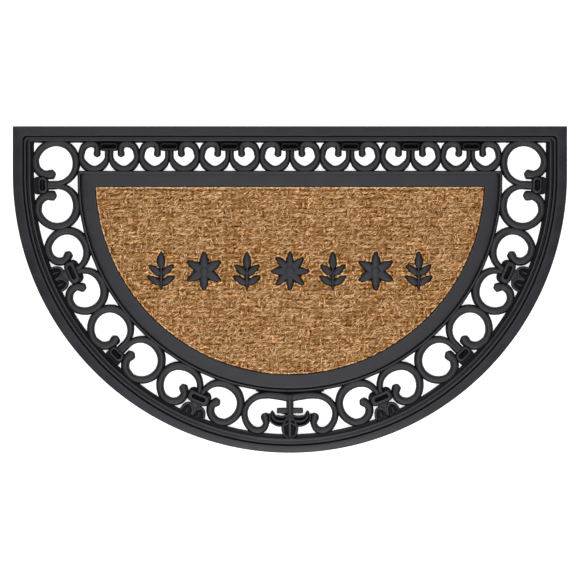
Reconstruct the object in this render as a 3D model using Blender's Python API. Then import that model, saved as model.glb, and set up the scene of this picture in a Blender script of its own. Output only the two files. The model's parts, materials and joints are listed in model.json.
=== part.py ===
"""Half-round doormat: one rubber moulding with an open scroll border, and a coir panel let into it.

Metres, +Z up. The origin is on the floor under the middle of the mat's box, +X runs along the
straight edge and +Y points towards it. Everything of rubber is one solid: its shapes reach below the
floor, are joined, and are then trimmed flat at Z = 0.
"""

import math
from collections import namedtuple

import bmesh
import bpy
from mathutils import Vector

MM = 0.001

# The mat is a half circle with short straight sides above it. Its outer edge reaches a little lower
# than its radius at the foot of the arc.
MAT_RADIUS = 375 * MM
SIDE_RISE = 65 * MM
RIM_FOOT = 1.75 * MM
TOP_Y = (MAT_RADIUS + RIM_FOOT + SIDE_RISE) / 2
ARC_Y = TOP_Y - SIDE_RISE

# The inner frame has an arc of its own, set a little lower, and a straight top.
FRAME_RADIUS = 288 * MM
FRAME_ARC_Y = ARC_Y - 7.9 * MM
FRAME_TOP_Y = TOP_Y - 59.7 * MM

# A bar's sides lean in by this share of its half width.
BAR_DRAFT = 0.55

FLOOR_TOP = 2.0 * MM
PANEL_TOP = 8.2 * MM
FIT_GAP = 0.35 * MM
ARC_STEPS = 16

# How far each kind of shape reaches below the floor before the trim.
# No two kinds that meet end level, and a lobe's plate is drawn a little smaller than its rim.
BAR_FOOT = -2.0 * MM
COLLAR_FOOT = -2.5 * MM
WEB_FOOT = -1.5 * MM
FLEUR_FOOT = -2.2 * MM
PLATE_FOOT = -1.2 * MM
SIDE_LEAF_FOOT = -1.8 * MM
STEM_FOOT = -2.3 * MM
CROSSBAR_FOOT = -2.7 * MM
CENTRE_LEAF_FOOT = -3.3 * MM
PLATE_SCALE = 0.93

# Lines of a moulded frame from its outer foot inwards, in millimetres: how far in from its outer edge
# each one runs at the sides, at the bottom of the arc and along the top, how high it stands round the
# arc and along the top, and its corner's radius.
Line = namedtuple("Line", "side bottom top height top_height corner")
RIM_LINES = (
    Line(0.0, 0.0, 0.0, -3.0, -3.0, 1.0),
    Line(0.0, 0.0, 0.0, 2.6, 2.6, 1.0),
    Line(1.0, 1.0, 1.0, 3.6, 3.6, 1.0),
    Line(13.6, 9.4, 13.0, 6.6, 6.6, 5.0),
    Line(14.8, 10.6, 14.0, 4.2, 4.2, 6.0),
    Line(17.2, 13.2, 15.2, 7.6, 6.6, 6.0),
    Line(20.2, 16.0, 17.0, 5.6, 6.8, 5.0),
    Line(22.8, 18.6, 18.8, 8.2, 8.0, 3.0),
    Line(27.6, 22.6, 21.6, 5.4, 5.4, 1.0),
    Line(29.1, 24.1, 22.6, -3.0, -3.0, 1.0),
)
FRAME_LINES = (
    Line(0.0, 0.0, 0.0, -4.0, -4.0, 1.0),
    Line(0.6, 0.6, 0.6, 5.4, 6.6, 1.0),
    Line(3.0, 3.0, 2.0, 7.6, 7.6, 2.0),
    Line(6.0, 6.0, 4.0, 5.0, 7.6, 4.0),
    Line(7.6, 7.6, 6.0, 7.6, 7.6, 4.0),
    Line(25.0, 25.0, 21.9, 8.0, 8.0, 1.0),
    Line(25.5, 25.5, 22.4, 2.0, 2.0, 1.0),
)

# A scroll is a bar round a ring that ends in a hook with a bulb. Lengths are in millimetres: the ring's
# half sizes along the border and across it, the bar's width beside its partner and at the far side, what
# it gains at both frames and at the inner one alone, the bar's height, the turn in degrees where the
# hook begins, the bulb's radius and how far the bar runs back towards its collar.
Step = namedtuple("Step", "x y width")
Scroll = namedtuple("Scroll", "along across near far swell inner height hook_from bulb stub steps")
WIDE_SCROLL = Scroll(27.4, 27.4, 8.8, 11.0, 0.0, 2.0, 7.0, 250, 6.5, 12.0, 9)
TIGHT_SCROLL = Scroll(27.4, 27.4, 8.8, 11.0, 0.0, 2.4, 7.0, 235, 6.2, 0.0, 8)
SMALL_SCROLL = Scroll(17.6, 17.2, 6.4, 8.0, 3.0, 0.0, 6.6, 200, 4.3, 8.0, 5)

# The hooks' steps, in millimetres from the ring's centre towards the partner and towards the outer
# frame. The last one is the bulb's centre.
WIDE_HOOK = (Step(4.4, 24.6, 11.6), Step(11.5, 20.2, 11.8), Step(15.2, 13.4, 12.2), Step(14.9, 6.9, 12.8))
TIGHT_HOOK = (Step(-4.6, 24.6, 10.8), Step(5.0, 20.6, 11.4), Step(9.6, 13.2, 11.6), Step(9.4, 6.6, 11.8),
              Step(5.8, 1.6, 12.2))
SMALL_HOOK = (Step(-14.4, 13.7, 10.0), Step(-5.4, 17.6, 9.8), Step(2.6, 14.8, 9.0), Step(3.9, 4.3, 8.4))

# The bulb at a scroll's end: steps along the bar and the bar's width there, both in bulb radii.
BULB_SHAPE = ((-0.75, 1.45), (0.0, 2.0), (0.65, 1.55), (1.0, 0.7))

# A collar is a rounded block with a blind slot, in millimetres. Out is how far its middle lies beyond
# the middle of its pair.
Collar = namedtuple("Collar", "length width slot_length slot_width height out")
WIDE_COLLAR = Collar(23.0, 14.4, 14.4, 6.4, 8.8, 18.5)
TIGHT_COLLAR = Collar(31.0, 15.0, 18.6, 5.0, 9.0, 5.6)
TOP_COLLAR = Collar(24.6, 10.4, 19.6, 5.2, 8.8, 13.4)
COLLAR_EASE = 1.2 * MM

# A web is a low block that ties a collar to the outer frame, in millimetres.
Web = namedtuple("Web", "length width height out")
WIDE_WEB = Web(24.0, 14.0, 2.8, 25.0)
TIGHT_WEB = Web(17.0, 13.0, 5.0, 15.0)
TIGHT_BASE = Web(33.0, 19.0, 2.6, 3.0)
TOP_WEB = Web(37.0, 6.6, 2.4, 17.3)

# A fleur is two arched lobes on a low plate, against the outer frame, in millimetres: a lobe's half
# width and rise, half the way between the lobes, their rim's width and height, and the plate's height.
Fleur = namedtuple("Fleur", "half rise apart rim height plate out steps")
FLEUR = Fleur(8.1, 13.0, 8.6, 3.2, 7.8, 2.2, 30.0, 4)

# Pairs of scrolls along the arc: every second one, from the second, is the tight kind.
PAIR_COUNT = 4
FIRST_PAIR = math.radians(2.55)
PAIR_PITCH = math.radians(21.75)
MEMBER_ANGLE = math.radians(5.3)

# Pairs of small scrolls along the top, counted from the middle.
TOP_PAIRS_EACH_WAY = 3
TOP_PAIR_PITCH = 81.6 * MM
TOP_MEMBER = 20.2 * MM
TOP_ROW_Y = (FRAME_TOP_Y + TOP_Y - RIM_LINES[-1].top * MM) / 2

# Bars of the centre piece, in millimetres from the arc's centre, as they run on the right half.
CURL = (
    Step(-3.0, -302.8, 11.6), Step(16.7, -298.9, 10.4), Step(31.5, -298.1, 9.6), Step(45.5, -301.0, 9.2),
    Step(56.2, -309.4, 9.0), Step(61.4, -321, 9.2), Step(59.6, -333.8, 9.6), Step(52.4, -343.6, 10.2),
    Step(43.2, -346.8, 10.4), Step(35.2, -343.4, 9.6), Step(32.0, -336.4, 9.2), Step(32.6, -333, 10.6),
    Step(33.6, -328.6, 12.6), Step(34.4, -325.0, 10.2), Step(35.0, -323.0, 4.8),
)
SIDE_LEAF = (
    Step(-2.0, -327.6, 10.0), Step(8.0, -332.4, 15.0), Step(16.0, -332.8, 16.0), Step(22.6, -328.4, 12.6),
    Step(23.8, -319.6, 2.4),
)
STEM = (Step(0, -299, 12.4), Step(0, -308, 9.6), Step(0, -331, 9.0))
CROSSBAR = (
    Step(-17, -319.6, 4.4), Step(-15, -319.6, 7.6), Step(15, -319.6, 7.6), Step(17, -319.6, 4.4),
)
CENTRE_LEAF = (
    Step(0, -323, 4.0), Step(0, -331, 13.0), Step(0, -339, 21.5), Step(0, -346, 23.4),
    Step(0, -353, 18.5), Step(0, -359, 6.0),
)

# The row of seven raised ornaments. A leaf is widest at a share of its length, and narrows to a share
# of its width at its base and its tip.
ROW_Y = ARC_Y - 131 * MM
ROW_PITCH = 58 * MM
ORNAMENT_SHOULDER = 7.6 * MM
ORNAMENT_TOP = 9.4 * MM
RIDGE_SHRINK = 0.6
LEAF_WIDEST, LEAF_BASE, LEAF_TIP = 0.42, 0.35, 0.12
HUB_SIDES = 8
HUB_BEVEL = 1.5 * MM

# A flower's petals and the boss at its middle, in millimetres.
Flower = namedtuple("Flower", "petals length width hub")
LARGE_FLOWER = Flower(8, 27.0, 10.5, 7.5)
SMALL_FLOWER = Flower(6, 27.0, 12.5, 6.5)

# A sprig's leaves, in millimetres and degrees: where each starts on the stem and how far it turns to
# each side of it. One that doesn't turn is there once.
Leaf = namedtuple("Leaf", "base turn length width")
SPRIG_LEAVES = (
    Leaf(-27, 0, 40.0, 5.4), Leaf(2, 0, 25.0, 11.0), Leaf(-18, 58, 22.0, 9.5), Leaf(-5, 52, 22.0, 9.5),
)

# The panel's foot, shoulder and top: how far in from the frame each runs and how high, in millimetres.
PANEL_LEVELS = ((0.35, 2.3), (0.35, 7.0), (1.4, 8.2))
PANEL_CORNER = 1.2


def clear_scene():
    for old in list(bpy.data.objects):
        bpy.data.objects.remove(old, do_unlink=True)


def new_collection(name, hidden=False):
    group = bpy.data.collections.new(name)
    bpy.context.scene.collection.children.link(group)
    group.hide_render = hidden
    return group


def material(name, colour, roughness):
    made = bpy.data.materials.new(name)
    made.use_nodes = True
    shader = made.node_tree.nodes["Principled BSDF"]
    shader.inputs["Base Color"].default_value = (*colour, 1)
    shader.inputs["Roughness"].default_value = roughness
    shader.inputs["Metallic"].default_value = 0
    return made


def tool(obj):
    """A cutter or a shape to join: seen as wire, and left out of the render."""
    obj.hide_render = True
    obj.display_type = "WIRE"
    return obj


def loft(name, loops, group, ring=False):
    """A closed solid through loops of equal length. Its ends are capped, or meet if ring is set."""
    bm = bmesh.new()
    rows = [[bm.verts.new(point) for point in loop] for loop in loops]
    pairs = list(zip(rows, rows[1:]))
    if ring:
        pairs.append((rows[-1], rows[0]))
    else:
        bm.faces.new(rows[0])
        bm.faces.new(rows[-1])
    for low, high in pairs:
        for i, corner in enumerate(low):
            after = (i + 1) % len(low)
            bm.faces.new((corner, low[after], high[after], high[i]))
    bmesh.ops.recalc_face_normals(bm, faces=bm.faces)
    mesh = bpy.data.meshes.new(name)
    bm.to_mesh(mesh)
    bm.free()
    made = bpy.data.objects.new(name, mesh)
    group.objects.link(made)
    return made


def d_loop(line, radius, arc_y, top_y, foot=0.0):
    """One line of a frame, all the way round, anticlockwise from the middle of its top.

    Foot is how far it reaches beyond its radius at the bottom."""
    side = radius - line.side * MM
    bottom = radius - line.bottom * MM
    top = top_y - line.top * MM
    corner = line.corner * MM
    drop = arc_y - top + corner
    start = max(0.0, math.asin(max(0.0, drop) / side))
    edge_x = side * math.cos(start)
    cut = corner * (1 - math.sqrt(0.5))
    height, top_height = line.height * MM, line.top_height * MM

    def on_arc(share):
        angle = start + (math.pi / 2 - start) * share
        reach = side + (bottom - side) * math.sin(angle) ** 4
        return (-reach * math.cos(angle), arc_y - (reach + foot) * math.sin(angle), height)

    half = [
        (0.0, top, top_height),
        (-edge_x + corner, top, top_height),
        (-edge_x + cut, top - cut, (height + top_height) / 2),
    ]
    if drop < 0:
        half += [(-edge_x, top - corner, height), on_arc(0)]
    else:
        half += [on_arc(0), on_arc(0.5 / ARC_STEPS)]
    half += [on_arc(i / ARC_STEPS) for i in range(1, ARC_STEPS)]
    bottom_point = (0.0, arc_y - bottom - foot, height)
    other = [(-x, y, z) for x, y, z in reversed(half[1:])]
    return half + [bottom_point] + other


def frames(group):
    """The outer frame, and the inner frame with the floor that carries the panel."""
    rim = []
    for line in RIM_LINES:
        foot = RIM_FOOT * (1 - line.side / RIM_LINES[-1].side)
        rim.append(d_loop(line, MAT_RADIUS, ARC_Y, TOP_Y, foot))
    loft("rim", rim, group, ring=True)
    inner = [d_loop(line, FRAME_RADIUS, FRAME_ARC_Y, FRAME_TOP_Y) for line in FRAME_LINES]
    return loft("inner_frame", inner, group)


def bar(name, path, widths, height, group, foot=BAR_FOOT):
    """A bar with sloped sides along a path seen from above, as wide at each point as widths says."""
    loops = []
    for i, point in enumerate(path):
        ahead = path[min(i + 1, len(path) - 1)] - path[max(i - 1, 0)]
        across = Vector((-ahead.y, ahead.x)).normalized() * widths[i] / 2
        corners = ((1 + BAR_DRAFT * -foot / height, foot), (1 - BAR_DRAFT, height))
        (low, low_z), (high, high_z) = corners
        loops.append([
            (*(point + across * low), low_z),
            (*(point - across * low), low_z),
            (*(point - across * high), high_z),
            (*(point + across * high), high_z),
        ])
    return tool(loft(name, loops, group))


class Place:
    """A spot on the border seen from above: its centre, and the ways towards its partner and out."""

    def __init__(self, centre, toward, out):
        self.centre, self.toward, self.out = centre, toward.normalized(), out.normalized()

    def point(self, toward, out):
        return self.centre + self.toward * toward + self.out * out

    def moved_out(self, reach):
        return Place(self.point(0, reach), self.toward, self.out)


def border_middle(angle):
    """How far from the arc's centre the middle of the curved border runs."""
    rim_line = RIM_LINES[-1]
    rim = MAT_RADIUS - rim_line.side * MM
    rim += (rim_line.side - rim_line.bottom) * MM * math.sin(angle) ** 4
    frame = FRAME_RADIUS + (ARC_Y - FRAME_ARC_Y) * max(0.0, math.sin(angle))
    return (rim + frame) / 2


def on_border(angle, reach, side):
    return Vector((side * math.cos(angle) * reach, ARC_Y - math.sin(angle) * reach))


def ring_step(kind, turn):
    """A step of a scroll's ring, in millimetres from the ring's centre."""
    angle = math.radians(turn)
    inner = kind.inner * max(0.0, math.sin(angle)) ** 2
    width = kind.near + (kind.far - kind.near) * (1 - math.cos(angle)) / 2
    width += kind.swell * abs(math.sin(angle)) + inner
    return Step(kind.along * math.cos(angle), -(kind.across - inner / 2) * math.sin(angle), width)


def scroll(name, kind, hook, place, group):
    """One C-scroll: a ring, a hook and its bulb."""
    steps = [Step(kind.along, kind.stub, kind.near)] if kind.stub else []
    steps += [ring_step(kind, kind.hook_from * i / kind.steps) for i in range(kind.steps + 1)]
    steps += hook
    path = [place.point(step.x * MM, step.y * MM) for step in steps]
    widths = [step.width * MM for step in steps]
    bulb, centre = kind.bulb * MM, path[-1]
    heading = (path[-1] - path[-2]).normalized()
    while (path[-1] - centre).length < bulb * 1.2:
        path.pop()
        widths.pop()
    for along, width in BULB_SHAPE:
        path.append(centre + heading * bulb * along)
        widths.append(bulb * width)
    return bar(name, path, widths, kind.height * MM, group)


def rounded_loop(place, length, width, height):
    """A rectangle with cut corners, its length along the border."""
    cut = min(length, width) * 0.3
    corners = []
    for s, t in ((1, 1), (-1, 1), (-1, -1), (1, -1)):
        near = (s * length / 2, t * (width / 2 - cut))
        far = (s * (length / 2 - cut), t * width / 2)
        corners += [near, far] if s == t else [far, near]
    points = [place.point(u, v) for u, v in corners]
    return [(*p, height) for p in points]


def collar(name, kind, pair, group):
    """A block round two bars, with a blind slot in its top."""
    place = pair.moved_out(kind.out * MM)
    length, width = kind.length * MM, kind.width * MM
    slot_length, slot_width = kind.slot_length * MM, kind.slot_width * MM
    height, ease = kind.height * MM, COLLAR_EASE
    loops = [
        rounded_loop(place, length + ease, width + ease, COLLAR_FOOT),
        rounded_loop(place, length - ease, width - ease, height),
        rounded_loop(place, slot_length, slot_width, height),
        rounded_loop(place, slot_length - ease, slot_width - ease, height / 2),
    ]
    return tool(loft(name, loops, group))


def web(name, kind, pair, group):
    place = pair.moved_out(kind.out * MM)
    half_length, half_width = kind.length * MM / 2, kind.width * MM / 2
    ends = [(u * half_length, v * half_width) for u, v in ((1, 1), (-1, 1), (-1, -1), (1, -1))]
    loops = [[(*place.point(u, v), z) for u, v in ends] for z in (WEB_FOOT, kind.height * MM)]
    return tool(loft(name, loops, group))


def fleur(name, kind, pair, group):
    """Two small lobes side by side, standing against the outer frame."""
    place = pair.moved_out(kind.out * MM)
    turns = [math.pi * i / kind.steps for i in range(kind.steps + 1)]
    for side in (-1, 1):
        def arch(scale):
            return [place.point((side * kind.apart + scale * kind.half * math.cos(t)) * MM,
                                -scale * kind.rise * math.sin(t) * MM) for t in turns]

        widths = [kind.rim * MM] * len(turns)
        bar(f"{name}_rim_{side}", arch(1), widths, kind.height * MM, group, foot=FLEUR_FOOT)
        plate = [[(*p, z) for p in arch(PLATE_SCALE)] for z in (PLATE_FOOT, kind.plate * MM)]
        tool(loft(f"{name}_plate_{side}", plate, group))


def curved_border(side, group):
    for k in range(PAIR_COUNT):
        angle = FIRST_PAIR + k * PAIR_PITCH
        tight = k % 2 == 1
        kind, hook = (TIGHT_SCROLL, TIGHT_HOOK) if tight else (WIDE_SCROLL, WIDE_HOOK)
        turns = [angle + m * MEMBER_ANGLE for m in (-1, 1)]
        ends = [on_border(turn, border_middle(turn), side) for turn in turns]
        middle = (ends[0] + ends[1]) / 2
        out = middle - Vector((0, ARC_Y))
        name = f"{k}_{side}"
        for m, centre in enumerate(ends):
            scroll(f"scroll_{name}_{m}", kind, hook, Place(centre, middle - centre, out), group)
        pair = Place(middle, ends[1] - ends[0], out)
        collar(f"collar_{name}", TIGHT_COLLAR if tight else WIDE_COLLAR, pair, group)
        web(f"web_{name}", TIGHT_WEB if tight else WIDE_WEB, pair, group)
        if tight:
            web(f"base_{name}", TIGHT_BASE, pair, group)
            fleur(f"fleur_{name}", FLEUR, pair, group)


def top_border(group):
    along, out = Vector((1, 0)), Vector((0, 1))
    for k in range(-TOP_PAIRS_EACH_WAY, TOP_PAIRS_EACH_WAY + 1):
        middle = Vector((TOP_PAIR_PITCH * k, TOP_ROW_Y))
        for m in (-1, 1):
            centre = middle + along * m * TOP_MEMBER
            place = Place(centre, middle - centre, out)
            scroll(f"top_scroll_{k}_{m}", SMALL_SCROLL, SMALL_HOOK, place, group)
        pair = Place(middle, along, out)
        collar(f"top_collar_{k}", TOP_COLLAR, pair, group)
        web(f"top_web_{k}", TOP_WEB, pair, group)


def step_bar(name, steps, height, group, side=1, foot=BAR_FOOT):
    """A bar through a table of steps, on the side of the middle that side gives."""
    path = [Vector((side * step.x * MM, ARC_Y + step.y * MM)) for step in steps]
    return bar(name, path, [step.width * MM for step in steps], height * MM, group, foot)


def centre_piece(group):
    """Two curls, a stem with a crossbar, two side leaves and a leaf below, at the foot of the arc.

    The right curl and side leaf stand 0.2 mm above the left ones, so their tops don't meet level."""
    for side in (-1, 1):
        step_bar(f"centre_curl_{side}", CURL, 7.0 + 0.1 * side, group, side)
        step_bar(f"centre_side_leaf_{side}", SIDE_LEAF, 7.3 + 0.1 * side, group, side, SIDE_LEAF_FOOT)
    step_bar("centre_stem", STEM, 7.6, group, foot=STEM_FOOT)
    step_bar("centre_crossbar", CROSSBAR, 8.0, group, foot=CROSSBAR_FOOT)
    step_bar("centre_leaf", CENTRE_LEAF, 8.4, group, foot=CENTRE_LEAF_FOOT)


def leaf(name, base, heading, length, width, group, grow=0.0):
    """A pointed leaf from base along heading. With grow it's a plain post, larger all round."""
    ahead = Vector((math.sin(heading), math.cos(heading)))
    across = Vector((ahead.y, -ahead.x))
    middle = LEAF_WIDEST * length

    def loop(shrink, height):
        half = width / 2 * (1 - shrink) + grow
        rows = ((-grow, LEAF_BASE), (middle, 1.0), (length + grow * 1.6, LEAF_TIP))
        left, right = [], []
        for along, share in rows:
            spot = base + ahead * (middle + (along - middle) * (1 - shrink))
            left.append(spot + across * half * share)
            right.append(spot - across * half * share)
        return [(p.x, p.y, height) for p in left + right[::-1]]

    if grow:
        return tool(loft(name, [loop(0, 0.0), loop(0, 2 * PANEL_TOP)], group))
    levels = ((0, 0.5 * FLOOR_TOP), (0, ORNAMENT_SHOULDER), (RIDGE_SHRINK, ORNAMENT_TOP))
    return tool(loft(name, [loop(shrink, height) for shrink, height in levels], group))


def hub(name, centre, radius, group, grow=0.0):
    """A low round boss at the middle of a flower."""
    def loop(reach, height):
        turns = [math.tau * (i + 0.5) / HUB_SIDES for i in range(HUB_SIDES)]
        return [(centre.x + reach * math.cos(t), centre.y + reach * math.sin(t), height) for t in turns]

    if grow:
        return tool(loft(name, [loop(radius + grow, 0.0), loop(radius + grow, 2 * PANEL_TOP)], group))
    top = ORNAMENT_TOP + 0.5 * MM
    levels = ((radius, 0.4 * FLOOR_TOP), (radius, top - HUB_BEVEL), (radius / 2, top))
    return tool(loft(name, [loop(reach, height) for reach, height in levels], group))


def flower(name, kind, centre, group, grow):
    for i in range(kind.petals):
        heading = math.tau * i / kind.petals
        leaf(f"{name}_petal_{i}", centre, heading, kind.length * MM, kind.width * MM, group, grow)
    hub(f"{name}_hub", centre, kind.hub * MM, group, grow)


def sprig(name, centre, group, grow):
    """A stem with a leaf at its top and two pairs of leaves."""
    for row, kind in enumerate(SPRIG_LEAVES):
        base = centre + Vector((0, kind.base * MM))
        for side in (-1, 1) if kind.turn else (1,):
            heading = side * math.radians(kind.turn)
            leaf(f"{name}_leaf_{row}_{side}", base, heading, kind.length * MM, kind.width * MM, group, grow)


def ornaments(group, grow=0.0):
    """The row of seven: a flower in the middle, and sprigs and smaller flowers by turns beside it."""
    flower("flower_0", LARGE_FLOWER, Vector((0, ROW_Y)), group, grow)
    for side in (-1, 1):
        spots = [Vector((side * place * ROW_PITCH, ROW_Y)) for place in (1, 2, 3)]
        sprig(f"sprig_{side}", spots[0], group, grow)
        flower(f"flower_{side}", SMALL_FLOWER, spots[1], group, grow)
        sprig(f"sprig_{3 * side}", spots[2], group, grow)


def below_floor(group):
    """A block with its top at Z = 0, wider than the mat."""
    size = 3 * MAT_RADIUS
    bpy.ops.mesh.primitive_cube_add(size=size, location=(0, 0, -size / 2))
    made = bpy.context.object
    made.name = "below_floor"
    for holder in list(made.users_collection):
        holder.objects.unlink(made)
    group.objects.link(made)
    return tool(made)


def boolean(obj, name, operation, group=None, other=None):
    """A Boolean by the MANIFOLD solver: on this many joined bars, EXACT leaves edges with four faces."""
    made = obj.modifiers.new(name, "BOOLEAN")
    made.operation = operation
    made.solver = "MANIFOLD"
    if group:
        made.operand_type = "COLLECTION"
        made.collection = group
    else:
        made.object = other


def main():
    clear_scene()
    mat = new_collection("Half-round doormat")
    shapes = new_collection("Rubber shapes", hidden=True)
    cutters = new_collection("Cutters", hidden=True)
    sockets = new_collection("Panel sockets", hidden=True)

    rubber = frames(shapes)
    shapes.objects.unlink(rubber)
    mat.objects.link(rubber)
    rubber.name = "rubber_mat"
    tool(shapes.objects["rim"])
    for side in (-1, 1):
        curved_border(side, shapes)
    top_border(shapes)
    centre_piece(shapes)
    ornaments(shapes)
    boolean(rubber, "join", "UNION", group=shapes)
    boolean(rubber, "trim", "DIFFERENCE", other=below_floor(cutters))
    rubber.data.materials.append(material("black_rubber", (0.035, 0.035, 0.040), 0.55))

    edge = FRAME_LINES[-1]
    panel_lines = [
        Line(edge.side + inset, edge.bottom + inset, edge.top + inset, height, height, PANEL_CORNER)
        for inset, height in PANEL_LEVELS
    ]
    loops = [d_loop(line, FRAME_RADIUS, FRAME_ARC_Y, FRAME_TOP_Y) for line in panel_lines]
    panel = loft("coir_panel", loops, mat)
    ornaments(sockets, grow=FIT_GAP)
    boolean(panel, "sockets", "DIFFERENCE", group=sockets)
    panel.data.materials.append(material("coir", (0.37, 0.20, 0.08), 0.9))


main()
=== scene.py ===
"""Looks of the half-round doormat: a satin black rubber moulding and its woven coir panel.

Both solids of the frame are replaced by finer meshes on the same sizes: the moulding by one closed mesh
with rounded bars, ribs and leaves, and the panel by a woven sheet that carries locks of coir.
"""

import json
import math
from collections import namedtuple

import bmesh
import bpy
import numpy as np
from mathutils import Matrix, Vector

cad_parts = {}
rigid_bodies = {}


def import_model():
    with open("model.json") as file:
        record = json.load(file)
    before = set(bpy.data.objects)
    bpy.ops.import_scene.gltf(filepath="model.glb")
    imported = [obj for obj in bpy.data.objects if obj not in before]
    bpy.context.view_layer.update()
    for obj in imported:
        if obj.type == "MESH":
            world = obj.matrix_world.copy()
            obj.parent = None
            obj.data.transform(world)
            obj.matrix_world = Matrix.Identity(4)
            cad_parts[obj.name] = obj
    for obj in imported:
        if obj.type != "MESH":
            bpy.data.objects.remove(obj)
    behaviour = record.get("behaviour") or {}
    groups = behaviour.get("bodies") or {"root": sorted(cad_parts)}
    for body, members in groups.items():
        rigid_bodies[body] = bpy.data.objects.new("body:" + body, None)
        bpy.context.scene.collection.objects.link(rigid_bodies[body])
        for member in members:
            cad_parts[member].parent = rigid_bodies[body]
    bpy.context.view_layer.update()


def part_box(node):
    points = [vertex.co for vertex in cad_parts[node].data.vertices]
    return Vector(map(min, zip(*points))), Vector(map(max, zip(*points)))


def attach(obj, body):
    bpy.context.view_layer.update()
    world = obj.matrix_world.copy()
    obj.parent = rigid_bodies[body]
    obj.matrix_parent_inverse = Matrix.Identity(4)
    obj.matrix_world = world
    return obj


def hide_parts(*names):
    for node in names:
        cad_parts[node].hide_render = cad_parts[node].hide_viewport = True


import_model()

MM = 0.001

MAT_LOW, MAT_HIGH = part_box("rubber_mat")
PANEL_LOW, PANEL_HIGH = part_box("coir_panel")

# The mat is a half circle with short straight sides above it, and the inner frame has its own arc.
# The outer edge reaches a little lower than its radius at the foot of the arc.
MAT_RADIUS = MAT_HIGH.x
TOP_Y = MAT_HIGH.y
ARC_Y = TOP_Y - 65 * MM
RIM_FOOT = ARC_Y - MAT_RADIUS - MAT_LOW.y
FRAME_RADIUS = 288 * MM
FRAME_ARC_Y = ARC_Y - 7.9 * MM
FRAME_TOP_Y = TOP_Y - 59.7 * MM

# Heights in millimetres between which the rubber and the locks turn from a painted shade in their recesses
# to their own tone.
RECESS_LOW, RECESS_HIGH = 2.0, 4.3
LOCK_LOW, LOCK_HIGH = 5.5, 7.3

# The upward share of the rubber's normals, from its flanks in painted shade to its greyer crowns, the
# crowns' roughness, and the angle above which an edge is sharp.
FLANK_UP, CROWN_UP = 0.62, 0.995
SATIN_LOW, SATIN_HIGH = 0.41, 0.52
SHARP_DEGREES = 38

# Points round a frame's half outline: along its straight top, round its corner and down its side.
TOP_STEPS, CORNER_STEPS, SIDE_STEPS = 14, 7, 110

# Lines of a moulded frame from its outer foot inwards, in millimetres: how far in each one runs at the
# sides, at the arc's foot and along the top, its height at the sides, along the top and at the foot, and
# its corner's radius.
Line = namedtuple("Line", "side bottom top height top_height low_height corner")
RIM_LINES = tuple(Line(*row) for row in (
    (0, 0, 0, -3, -3, -3, 1),
    (0, 0, 0, 2.8, 2.8, 2.8, 1),
    (0.4, 0.4, 0.4, 3.8, 3.8, 3.8, 1),
    (1, 1, 1, 4.3, 4.3, 4.3, 1),
    (2, 1.8, 2, 4.6, 4.6, 4.6, 1),
    (7, 4.8, 6.8, 5.6, 5.5, 5.6, 3),
    (12.4, 7.7, 11.9, 6.6, 6.4, 6.6, 5),
    (13.2, 8.3, 12.6, 6.6, 6.5, 6.6, 5),
    (13.8, 8.9, 13.1, 6.2, 6.2, 6.2, 5),
    (14.3, 9.4, 13.5, 2.6, 2.6, 2.6, 6),
    (15, 10.1, 14.2, 2.6, 2.6, 2.6, 6),
    (15.6, 10.6, 14.8, 6.8, 6.4, 7, 6),
    (16.4, 11.2, 15.5, 7.6, 6.9, 7.8, 6),
    (18.4, 13.5, 16.4, 7.6, 6.9, 7.8, 5.5),
    (19.2, 14.1, 17, 6.8, 7, 7.5, 5),
    (19.8, 14.6, 17.3, 3.6, 7.3, 7.1, 5),
    (20.5, 15, 17.6, 3.6, 7.6, 7.1, 5),
    (21.2, 15.5, 18, 7.2, 8, 7.5, 4),
    (22.1, 16.2, 18.6, 8.2, 8.2, 7.8, 4),
    (24, 17.8, 19.6, 8.1, 8, 7.7, 3),
    (25.6, 19.6, 20.6, 6.4, 7, 5.6, 2),
    (28, 22.8, 21.6, 4.2, 4.6, 3.6, 1),
    (29.1, 24.1, 22.6, -3, -3, -3, 1),
))
FRAME_LINES = tuple(Line(*row) for row in (
    (0, 0, 0, -4, -4, -4, 1),
    (0.6, 0.6, 0.6, 4, 4.6, 4, 1),
    (1.4, 1.4, 1.2, 6.6, 7, 6.6, 1),
    (2.4, 2.4, 1.8, 7.6, 7.6, 7.6, 2),
    (4.4, 4.4, 3.4, 7.6, 7.6, 7.6, 3),
    (5, 5, 4, 6.6, 7.4, 6.6, 3),
    (5.5, 5.5, 4.4, 3.4, 7.2, 3.4, 4),
    (6.1, 6.1, 4.8, 3.4, 7.2, 3.4, 4),
    (6.7, 6.7, 5.4, 6.9, 7.4, 6.9, 4),
    (7.4, 7.4, 6.2, 7.4, 7.6, 7.4, 4),
    (8.4, 8.4, 7.2, 7.6, 7.7, 7.6, 4),
    (16, 16, 14, 7.9, 7.9, 7.9, 2),
    (22.8, 22.8, 19.8, 8.17, 8.17, 8.17, 1),
    (23.8, 23.8, 20.8, 8.2, 8.2, 8.2, 1),
    (24.8, 24.8, 21.8, 7.9, 7.9, 7.9, 1),
    (25.4, 25.4, 22.3, 6.8, 6.8, 6.8, 1),
    (25.5, 25.5, 22.4, 2, 2, 2, 1),
))

# Sections of a bar from its foot to its middle: shares of its half width and of its height.
PLAIN = ((0.98, 0.22), (0.92, 0.46), (0.80, 0.69), (0.63, 0.86), (0.42, 0.96), (0.20, 1), (0, 1))
RIDGE = ((0.98, 0.40), (0.92, 0.74), (0.80, 0.92), (0.62, 0.99), (0.40, 1), (0.20, 1), (0, 1))
MIDRIB = ((0.98, 0.50), (0.95, 0.84), (0.91, 0.97), (0.86, 1), (0.66, 1), (0.60, 0.86), (0.54, 0.34),
          (0.26, 0.32), (0.20, 0.84), (0.14, 0.98), (0, 0.99))

# How far each kind of shape reaches below the floor before the trim.
BAR_FOOT = -2
COLLAR_FOOT = -2.5
WEB_FOOT = -1.5
FLEUR_FOOT = -2.2
PLATE_FOOT = -1.2
VEIN_FOOT = -0.9

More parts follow.
